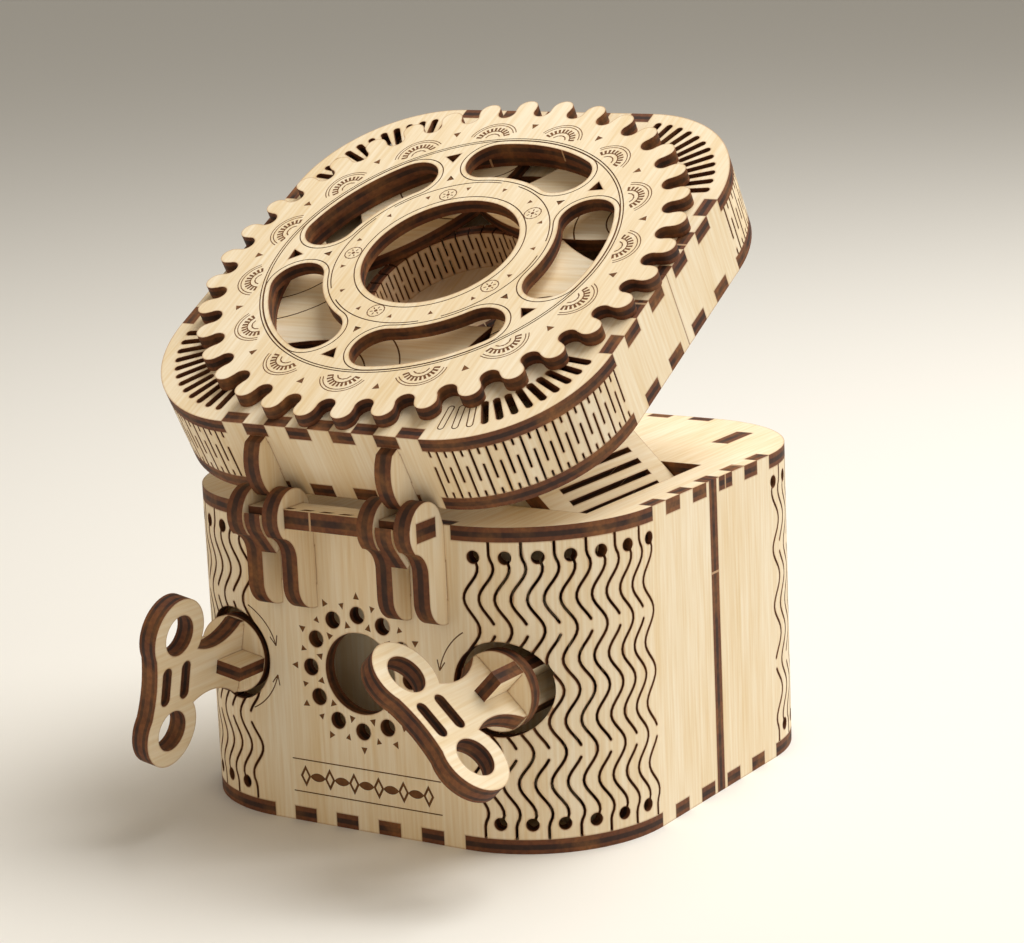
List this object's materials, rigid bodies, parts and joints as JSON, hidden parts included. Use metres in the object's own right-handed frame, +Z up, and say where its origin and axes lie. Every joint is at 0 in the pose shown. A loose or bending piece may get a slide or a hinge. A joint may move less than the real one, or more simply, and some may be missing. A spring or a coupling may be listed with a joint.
{
  "type": "plywood puzzle box",
  "caption": "Rounded plywood puzzle box with a hinged lid, a ring gear that works a leaf iris over a round cup, and keys that swing slotted doors.",
  "frame": {"origin": "centre of the box's underside, on the face that it rests on", "axes": "+Z up, -Y towards the hinge and the keys, +X to the right seen from the front"},
  "size_m": [0.1218, 0.1557, 0.1604],
  "materials": {
    "plywood": "laser-cut basswood plywood with scorched edges",
    "hinge_plywood": "thicker laser-cut plywood with scorched edges",
    "dowel": "plain hardwood dowel"
  },
  "bodies": {
    "box": {"base_plate": "plywood", "top_plate": "plywood", "front_wall": "plywood", "rear_wall": "plywood", "side_rib_left": "plywood", "side_rib_right": "plywood", "front_bearing_wall": "plywood", "rear_bearing_wall": "plywood", "rear_rib_left": "plywood", "rear_rib_right": "plywood", "hinge_bar": "hinge_plywood", "hinge_bracket_left_outer": "hinge_plywood", "hinge_bracket_left_inner": "hinge_plywood", "hinge_bracket_right_inner": "hinge_plywood", "hinge_bracket_right_outer": "hinge_plywood"},
    "lid": {"lid_top_plate": "plywood", "lid_bottom_plate": "plywood", "lid_front_wall": "plywood", "lid_rear_wall": "plywood", "lid_arm_left": "hinge_plywood", "lid_arm_right": "hinge_plywood", "cup_floor": "plywood", "cup_wall": "plywood", "iris_frame_lower": "plywood", "iris_frame_upper": "plywood", "iris_base_plate": "plywood", "leaf_pivots": "dowel"},
    "gear": {"ring_gear": "plywood", "drive_ring": "plywood"},
    "leaf_1": {"leaf_1": "plywood", "leaf_pin_1": "dowel"},
    "leaf_2": {"leaf_2": "plywood", "leaf_pin_2": "dowel"},
    "leaf_3": {"leaf_3": "plywood", "leaf_pin_3": "dowel"},
    "leaf_4": {"leaf_4": "plywood", "leaf_pin_4": "dowel"},
    "leaf_5": {"leaf_5": "plywood", "leaf_pin_5": "dowel"},
    "key_right": {"key_right_bow_lower": "plywood", "key_right_bow_upper": "plywood", "key_right_fin": "plywood", "key_right_disc": "plywood", "key_right_door": "plywood", "key_right_door_arm_front": "plywood", "key_right_door_arm_rear": "plywood"},
    "key_left": {"key_left_bow_lower": "plywood", "key_left_bow_upper": "plywood", "key_left_fin": "plywood", "key_left_disc": "plywood", "key_left_door": "plywood", "key_left_door_arm_front": "plywood", "key_left_door_arm_rear": "plywood"}
  },
  "joints": [
    {"name": "lid_hinge", "type": "hinge", "parent": "box", "child": "lid", "pos_m": [0, -0.0683, 0.0767], "axis": [1, 0, 0], "range_deg": [-28.9, 0]},
    {"name": "key_right_turn", "type": "hinge", "parent": "box", "child": "key_right", "pos_m": [0.0372, 0, 0.0389], "axis": [0, 1, 0], "range_deg": [-44, 0]},
    {"name": "key_left_turn", "type": "hinge", "parent": "box", "child": "key_left", "pos_m": [-0.0372, 0, 0.0389], "axis": [0, 1, 0], "range_deg": [0, 44]},
    {"name": "gear_spin", "type": "hinge", "parent": "lid", "child": "gear", "pos_m": [0, -0.01856, 0.12792], "axis": [0, -0.4833, 0.8755], "range_deg": [-48, 0]},
    {"name": "leaf_1_turn", "type": "hinge", "parent": "lid", "child": "leaf_1", "pos_m": [0.04071, 0.007, 0.13426], "axis": [0, -0.4833, 0.8755], "range_deg": [0, 34.32]},
    {"name": "leaf_2_turn", "type": "hinge", "parent": "lid", "child": "leaf_2", "pos_m": [-0.01161, 0.0255, 0.14447], "axis": [0, -0.4833, 0.8755], "range_deg": [0, 34.32]},
    {"name": "leaf_3_turn", "type": "hinge", "parent": "lid", "child": "leaf_3", "pos_m": [-0.04788, -0.01234, 0.12358], "axis": [0, -0.4833, 0.8755], "range_deg": [0, 34.32]},
    {"name": "leaf_4_turn", "type": "hinge", "parent": "lid", "child": "leaf_4", "pos_m": [-0.01798, -0.05423, 0.10046], "axis": [0, -0.4833, 0.8755], "range_deg": [0, 34.32]},
    {"name": "leaf_5_turn", "type": "hinge", "parent": "lid", "child": "leaf_5", "pos_m": [0.03677, -0.04228, 0.10705], "axis": [0, -0.4833, 0.8755], "range_deg": [0, 34.32]}
  ],
  "couplings": [
    {"joint": "key_right_turn", "follows": "lid_hinge", "ratio": 1.5225},
    {"joint": "key_left_turn", "follows": "lid_hinge", "ratio": -1.5225},
    {"joint": "leaf_1_turn", "follows": "gear_spin", "ratio": -0.71489},
    {"joint": "leaf_2_turn", "follows": "gear_spin", "ratio": -0.71489},
    {"joint": "leaf_3_turn", "follows": "gear_spin", "ratio": -0.71489},
    {"joint": "leaf_4_turn", "follows": "gear_spin", "ratio": -0.71489},
    {"joint": "leaf_5_turn", "follows": "gear_spin", "ratio": -0.71489}
  ]
}
